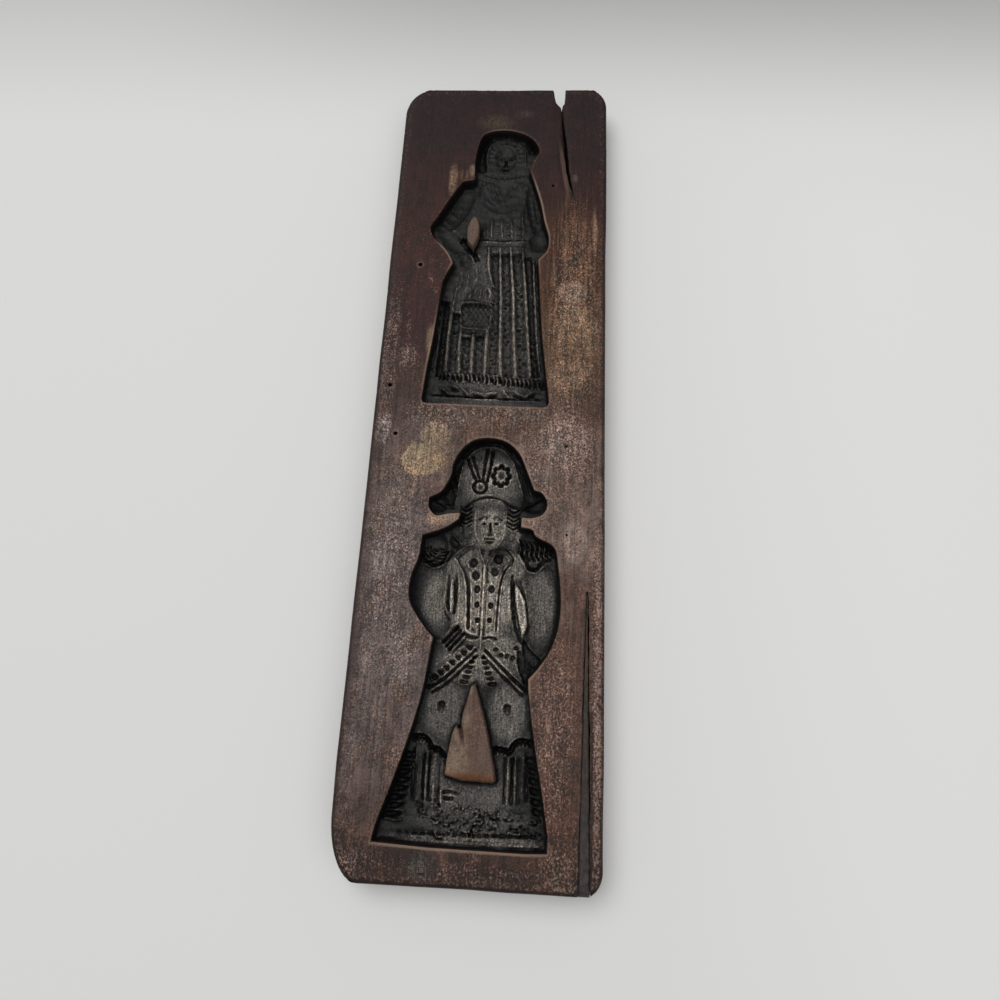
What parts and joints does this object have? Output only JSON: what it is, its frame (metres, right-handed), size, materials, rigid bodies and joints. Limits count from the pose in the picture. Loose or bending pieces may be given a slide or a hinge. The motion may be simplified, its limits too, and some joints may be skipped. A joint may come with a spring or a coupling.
{
  "type": "cookie mould",
  "caption": "Long wooden cookie mould, a flat plank with a man in a cocked hat and a woman in a pleated skirt carved into its face in reverse.",
  "frame": {"origin": "middle of the flat back", "axes": "+Z out of the carved face, +Y up the plank from the man's feet to the woman's head, +X to the right as the carved face is looked at"},
  "size_m": [0.1, 0.362, 0.016],
  "materials": {
    "old_wood": "old dense wood, smooth and greasy brown on the face with pale worn specks and rims, charcoal dark inside the carving",
    "dark_filler": "smooth dark grey-brown filler, dull",
    "old_iron": "dark rusted iron with a small bright worn spot"
  },
  "bodies": {
    "root": {"board": "old_wood", "split_filler": "dark_filler", "iron_nail": "old_iron"}
  },
  "joints": []
}
